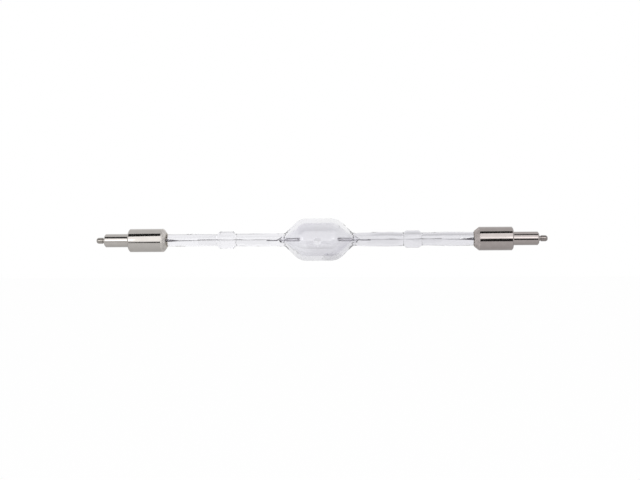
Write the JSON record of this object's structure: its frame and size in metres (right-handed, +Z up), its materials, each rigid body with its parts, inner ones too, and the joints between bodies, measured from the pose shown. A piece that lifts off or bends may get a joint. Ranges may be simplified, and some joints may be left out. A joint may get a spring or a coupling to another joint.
{
  "type": "metal halide lamp",
  "caption": "Double-ended quartz metal halide lamp: barrel-shaped bulb with facing electrodes, collared stems with foil seals, and turned caps with contact pins.",
  "frame": {"origin": "centre of the bulb, on the lamp axis, midway between the ends of the contact tips", "axes": "+X along the lamp axis towards the right cap, +Z up, -Y towards the tip-off on the front of the bulb"},
  "size_m": [0.405, 0.0403, 0.038],
  "materials": {
    "quartz_glass": "clear fused quartz, glossy",
    "nickel_plate": "satin nickel plate",
    "nickel_tip": "smooth nickel plate",
    "tungsten": "dark ground tungsten",
    "molybdenum": "grey rolled molybdenum",
    "cement": "matt white ceramic cement",
    "mercury": "bright liquid metal",
    "halide_salt": "thin dull condensed film"
  },
  "bodies": {
    "root": {"quartz_envelope": "quartz_glass", "mercury_drop": "mercury", "halide_salt": "halide_salt", "left_electrode_rod": "tungsten", "left_electrode_coil": "tungsten", "left_seal_foil": "molybdenum", "left_outer_lead": "molybdenum", "left_base_cement": "cement", "left_base_cap": "nickel_plate", "left_end_tip": "nickel_tip", "right_electrode_rod": "tungsten", "right_electrode_coil": "tungsten", "right_seal_foil": "molybdenum", "right_outer_lead": "molybdenum", "right_base_cement": "cement", "right_base_cap": "nickel_plate", "right_end_tip": "nickel_tip"}
  },
  "joints": []
}
